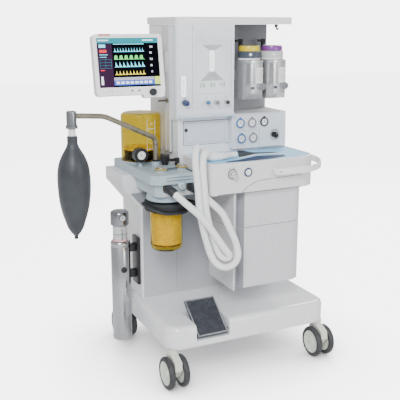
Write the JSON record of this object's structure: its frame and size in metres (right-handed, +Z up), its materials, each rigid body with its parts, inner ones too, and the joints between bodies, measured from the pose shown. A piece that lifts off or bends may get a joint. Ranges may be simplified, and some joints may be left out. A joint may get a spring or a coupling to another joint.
{
  "type": "anesthesia machine",
  "caption": "Anesthesia machine on a castor trolley: flowmeters, two vaporizers, monitor on an arm, absorber with bellows, breathing bag, hoses, drawers and worktop.",
  "frame": {"origin": "on the floor, under the middle of the machine's bounding box without the free hoses", "axes": "+Z up, +X to the machine's right as seen from its front, -Y towards the user"},
  "size_m": [1.0654, 0.6744, 1.363],
  "materials": {
    "base_white": "glossy white powder coat",
    "white_casing": "satin white moulded casing",
    "service_door_grey": "satin light blue-grey paint",
    "drawer_casing": "satin light grey moulding",
    "grey_cover": "fine textured mid grey",
    "brushed_metal": "brushed and satin anodised",
    "nickel_tube": "polished nickel plating",
    "black_plastic": "satin black moulding",
    "dark_rubber": "ribbed dark rubber",
    "vaporizer_dial_dark": "ribbed dark blue-grey moulding",
    "vaporizer_dial_light": "ribbed light grey moulding",
    "absorber_grey": "satin light grey-blue moulding",
    "amber_plastic": "transparent amber moulding",
    "clear_plastic": "clear moulding",
    "worktop_mat": "matt sky-blue silicone mat",
    "castor_cream": "cream moulded nylon",
    "castor_tyre": "dark grey thermoplastic tread",
    "bag_rubber": "soft slate-grey latex-free rubber",
    "hose_white": "white corrugated tubing",
    "blue_plastic": "navy blue moulding",
    "grey_plastic": "mid grey moulding",
    "yellow_plastic": "yellow moulding"
  },
  "bodies": {
    "machine_frame": {"trolley_base": "base_white", "pedestal_cabinet": "white_casing", "pedestal_cover": "grey_cover", "drawer_cabinet": "white_casing", "worktop": "white_casing", "worktop_mat": "worktop_mat", "handle_rail": "white_casing", "upper_cabinet": "white_casing", "top_shelf": "white_casing", "side_rail": "brushed_metal", "flow_panel": "white_casing", "auxiliary_flow_tube": "clear_plastic", "main_flow_tube": "clear_plastic", "gauge_panel": "white_casing", "vaporizer_left": "brushed_metal", "vaporizer_right": "brushed_metal", "absorber_body": "absorber_grey", "check_valve_caps": "clear_plastic", "bellows_dome": "amber_plastic", "bellows": "black_plastic", "exhale_elbow": "black_plastic", "inhale_elbow": "black_plastic", "exhale_hose": "hose_white", "inhale_hose": "hose_white", "y_piece": "hose_white", "waste_gas_receiver": "brushed_metal", "receiver_head": "brushed_metal"},
    "castor_fork_front_left": {"castor_fork_front_left": "castor_cream"},
    "castor_wheels_front_left": {"castor_wheels_front_left": "castor_tyre"},
    "castor_fork_front_right": {"castor_fork_front_right": "castor_cream"},
    "castor_wheels_front_right": {"castor_wheels_front_right": "castor_tyre"},
    "castor_fork_rear_left": {"castor_fork_rear_left": "castor_cream"},
    "castor_wheels_rear_left": {"castor_wheels_rear_left": "castor_tyre"},
    "castor_fork_rear_right": {"castor_fork_rear_right": "castor_cream"},
    "castor_wheels_rear_right": {"castor_wheels_rear_right": "castor_tyre"},
    "brake_pedal": {"brake_pedal": "dark_rubber"},
    "lower_drawer": {"lower_drawer": "drawer_casing"},
    "upper_drawer": {"upper_drawer": "drawer_casing"},
    "service_door": {"service_door": "service_door_grey"},
    "monitor_arm": {"monitor_arm": "brushed_metal"},
    "monitor": {"monitor_housing": "white_casing"},
    "monitor_knob": {"monitor_knob": "dark_rubber"},
    "bag_arm": {"bag_arm": "nickel_tube", "breathing_bag": "bag_rubber"},
    "canister_clamp": {"canister_clamp": "black_plastic"},
    "absorbent_canister": {"absorbent_canister": "amber_plastic"},
    "bellows_disc": {"bellows_disc": "yellow_plastic"},
    "pressure_limiting_valve": {"pressure_limiting_valve": "black_plastic"},
    "bag_ventilator_lever": {"bag_ventilator_lever": "black_plastic"},
    "auxiliary_oxygen_knob": {"auxiliary_oxygen_knob": "blue_plastic"},
    "nitrous_oxide_knob": {"nitrous_oxide_knob": "blue_plastic"},
    "air_knob": {"air_knob": "grey_plastic"},
    "oxygen_knob": {"oxygen_knob": "black_plastic"},
    "oxygen_flush_button": {"oxygen_flush_button": "brushed_metal"},
    "gas_outlet_switch": {"gas_outlet_switch": "brushed_metal"},
    "system_switch": {"system_switch": "black_plastic"},
    "vaporizer_dial_left": {"vaporizer_dial_left": "vaporizer_dial_dark"},
    "vaporizer_lock_left": {"vaporizer_lock_left": "dark_rubber"},
    "vaporizer_dial_right": {"vaporizer_dial_right": "vaporizer_dial_light"},
    "vaporizer_lock_right": {"vaporizer_lock_right": "dark_rubber"}
  },
  "joints": [
    {"name": "castor_swivel_front_left", "type": "hinge", "parent": "machine_frame", "child": "castor_fork_front_left", "pos_m": [-0.1782, -0.25675, 0.15], "axis": [0, 0, 1], "continuous": true},
    {"name": "castor_axle_front_left", "type": "hinge", "parent": "castor_fork_front_left", "child": "castor_wheels_front_left", "pos_m": [-0.1782, -0.27475, 0.0625], "axis": [1, 0, 0], "continuous": true},
    {"name": "castor_swivel_front_right", "type": "hinge", "parent": "machine_frame", "child": "castor_fork_front_right", "pos_m": [0.4718, -0.25675, 0.15], "axis": [0, 0, 1], "continuous": true},
    {"name": "castor_axle_front_right", "type": "hinge", "parent": "castor_fork_front_right", "child": "castor_wheels_front_right", "pos_m": [0.4718, -0.27475, 0.0625], "axis": [1, 0, 0], "continuous": true},
    {"name": "castor_swivel_rear_left", "type": "hinge", "parent": "machine_frame", "child": "castor_fork_rear_left", "pos_m": [-0.1912, 0.26725, 0.15], "axis": [0, 0, 1], "continuous": true},
    {"name": "castor_axle_rear_left", "type": "hinge", "parent": "castor_fork_rear_left", "child": "castor_wheels_rear_left", "pos_m": [-0.1912, 0.24925, 0.0625], "axis": [1, 0, 0], "continuous": true},
    {"name": "castor_swivel_rear_right", "type": "hinge", "parent": "machine_frame", "child": "castor_fork_rear_right", "pos_m": [0.4848, 0.26725, 0.15], "axis": [0, 0, 1], "continuous": true},
    {"name": "castor_axle_rear_right", "type": "hinge", "parent": "castor_fork_rear_right", "child": "castor_wheels_rear_right", "pos_m": [0.4848, 0.24925, 0.0625], "axis": [1, 0, 0], "continuous": true},
    {"name": "brake_pedal_hinge", "type": "hinge", "parent": "machine_frame", "child": "brake_pedal", "pos_m": [-0.0232, -0.27379, 0.19811], "axis": [1, 0, 0], "range_deg": [-10, 0]},
    {"name": "lower_drawer_slide", "type": "slide", "parent": "machine_frame", "child": "lower_drawer", "axis": [0, -1, 0], "range_m": [0, 0.125]},
    {"name": "upper_drawer_slide", "type": "slide", "parent": "machine_frame", "child": "upper_drawer", "axis": [0, -1, 0], "range_m": [0, 0.125]},
    {"name": "service_door_hinge", "type": "hinge", "parent": "machine_frame", "child": "service_door", "pos_m": [0.1748, -0.01275, 0.92], "axis": [0, 0, 1], "range_deg": [0, 88]},
    {"name": "monitor_arm_swing", "type": "hinge", "parent": "machine_frame", "child": "monitor_arm", "pos_m": [-0.0942, 0.06925, 1.193], "axis": [0, 0, 1], "range_deg": [-60, 8]},
    {"name": "monitor_tilt", "type": "hinge", "parent": "monitor_arm", "child": "monitor", "pos_m": [-0.2302, 0.05225, 1.181], "axis": [1, 0, 0], "range_deg": [-12, 20]},
    {"name": "monitor_knob_turn", "type": "hinge", "parent": "monitor", "child": "monitor_knob", "pos_m": [-0.1472, -0.02006, 1.08764], "axis": [0, 0.9848, -0.1736], "continuous": true},
    {"name": "bag_arm_swing", "type": "hinge", "parent": "machine_frame", "child": "bag_arm", "pos_m": [-0.1212, 0.02425, 0.8], "axis": [0, 0, 1], "range_deg": [-35, 60]},
    {"name": "canister_clamp_turn", "type": "hinge", "parent": "machine_frame", "child": "canister_clamp", "pos_m": [-0.1282, -0.09275, 0.665], "axis": [0, 0, 1], "range_deg": [0, 30]},
    {"name": "canister_drop", "type": "slide", "parent": "machine_frame", "child": "absorbent_canister", "axis": [0, 0, -1], "range_m": [0, 0.015]},
    {"name": "bellows_rise", "type": "slide", "parent": "machine_frame", "child": "bellows_disc", "axis": [0, 0, 1], "range_m": [0, 0.125], "deforming": ["bellows"]},
    {"name": "pressure_limiting_valve_turn", "type": "hinge", "parent": "machine_frame", "child": "pressure_limiting_valve", "pos_m": [-0.0892, 0.00725, 0.8], "axis": [0, 0, 1], "range_deg": [0, 300]},
    {"name": "bag_ventilator_lever_turn", "type": "hinge", "parent": "machine_frame", "child": "bag_ventilator_lever", "pos_m": [-0.0532, -0.03075, 0.8], "axis": [0, 0, 1], "range_deg": [0, 90]},
    {"name": "auxiliary_oxygen_knob_turn", "type": "hinge", "parent": "machine_frame", "child": "auxiliary_oxygen_knob", "pos_m": [-0.0252, -0.04275, 1.044], "axis": [0, -1, 0], "range_deg": [0, 540]},
    {"name": "nitrous_oxide_knob_turn", "type": "hinge", "parent": "machine_frame", "child": "nitrous_oxide_knob", "pos_m": [0.0668, -0.04275, 1.042], "axis": [0, -1, 0], "range_deg": [0, 540]},
    {"name": "air_knob_turn", "type": "hinge", "parent": "machine_frame", "child": "air_knob", "pos_m": [0.1068, -0.04275, 1.041], "axis": [0, -1, 0], "range_deg": [0, 540]},
    {"name": "oxygen_knob_turn", "type": "hinge", "parent": "machine_frame", "child": "oxygen_knob", "pos_m": [0.1508, -0.04275, 1.04], "axis": [0, -1, 0], "range_deg": [0, 540]},
    {"name": "oxygen_flush_button_press", "type": "slide", "parent": "machine_frame", "child": "oxygen_flush_button", "axis": [0, 1, 0], "range_m": [0, 0.005], "stiffness_N_per_m": 800, "springref_m": -0.002},
    {"name": "gas_outlet_switch_turn", "type": "hinge", "parent": "machine_frame", "child": "gas_outlet_switch", "pos_m": [0.0648, -0.26275, 0.799], "axis": [0, 1, 0], "range_deg": [0, 90]},
    {"name": "system_switch_turn", "type": "hinge", "parent": "machine_frame", "child": "system_switch", "pos_m": [0.3788, -0.03675, 0.896], "axis": [0, 1, 0], "range_deg": [0, 90]},
    {"name": "vaporizer_dial_turn_left", "type": "hinge", "parent": "machine_frame", "child": "vaporizer_dial_left", "pos_m": [0.2978, 0.03725, 1.1956], "axis": [0, 0, 1], "range_deg": [0, 300]},
    {"name": "vaporizer_lock_turn_left", "type": "hinge", "parent": "machine_frame", "child": "vaporizer_lock_left", "pos_m": [0.2978, 0.1121, 1.1956], "axis": [0, 0, 1], "range_deg": [0, 90]},
    {"name": "vaporizer_dial_turn_right", "type": "hinge", "parent": "machine_frame", "child": "vaporizer_dial_right", "pos_m": [0.4048, 0.03725, 1.1956], "axis": [0, 0, 1], "range_deg": [0, 300]},
    {"name": "vaporizer_lock_turn_right", "type": "hinge", "parent": "machine_frame", "child": "vaporizer_lock_right", "pos_m": [0.4048, 0.1121, 1.1956], "axis": [0, 0, 1], "range_deg": [0, 90]}
  ],
  "couplings": [
    {"joint": "canister_drop", "follows": "canister_clamp_turn", "m_per_rad": 0.028}
  ]
}
